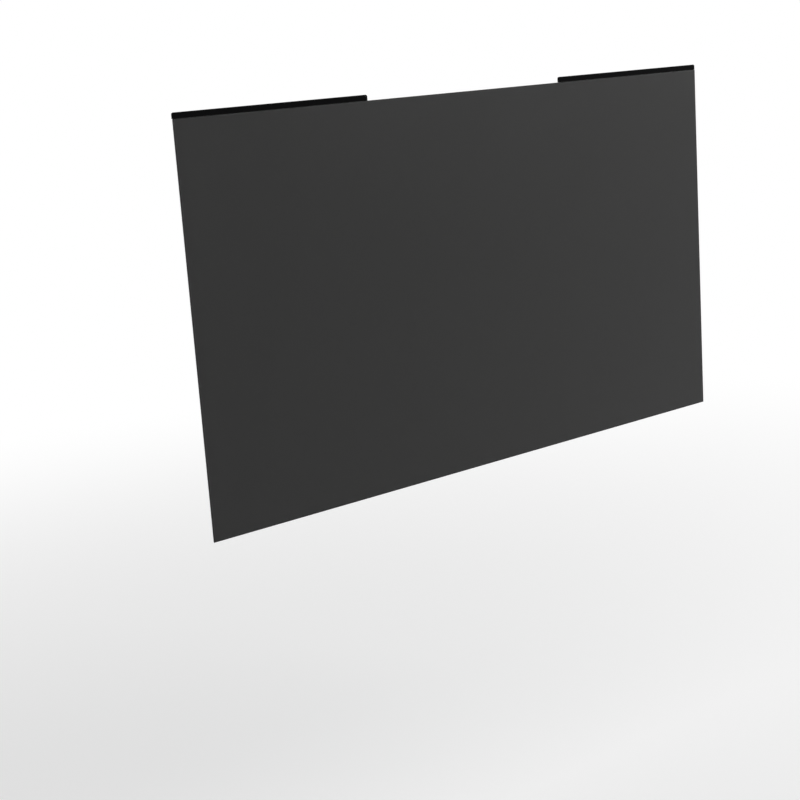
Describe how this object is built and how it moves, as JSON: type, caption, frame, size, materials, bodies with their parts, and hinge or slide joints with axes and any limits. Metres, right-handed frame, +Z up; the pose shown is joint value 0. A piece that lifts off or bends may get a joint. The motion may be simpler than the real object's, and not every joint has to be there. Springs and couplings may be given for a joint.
{
  "type": "monitor privacy filter",
  "caption": "Thin dark widescreen sheet that hangs in front of a monitor by slim magnet strips along its top edge, and hides the screen from the side.",
  "frame": {"origin": "centre of the whole filter's box, near the middle of the sheet", "axes": "+X along the width, to the right as the viewer sees it, +Y from the viewer to the screen, +Z up"},
  "size_m": [0.531, 0.0014, 0.3034],
  "materials": {
    "filter_film": "satin",
    "strip_plastic": "satin",
    "magnet_rubber": "matte",
    "bonding_tape": "matte"
  },
  "bodies": {
    "root": {"filter_sheet": "filter_film", "left_strip": "strip_plastic", "right_strip": "strip_plastic", "left_magnet": "magnet_rubber", "right_magnet": "magnet_rubber", "left_tape": "bonding_tape", "right_tape": "bonding_tape"}
  },
  "joints": []
}
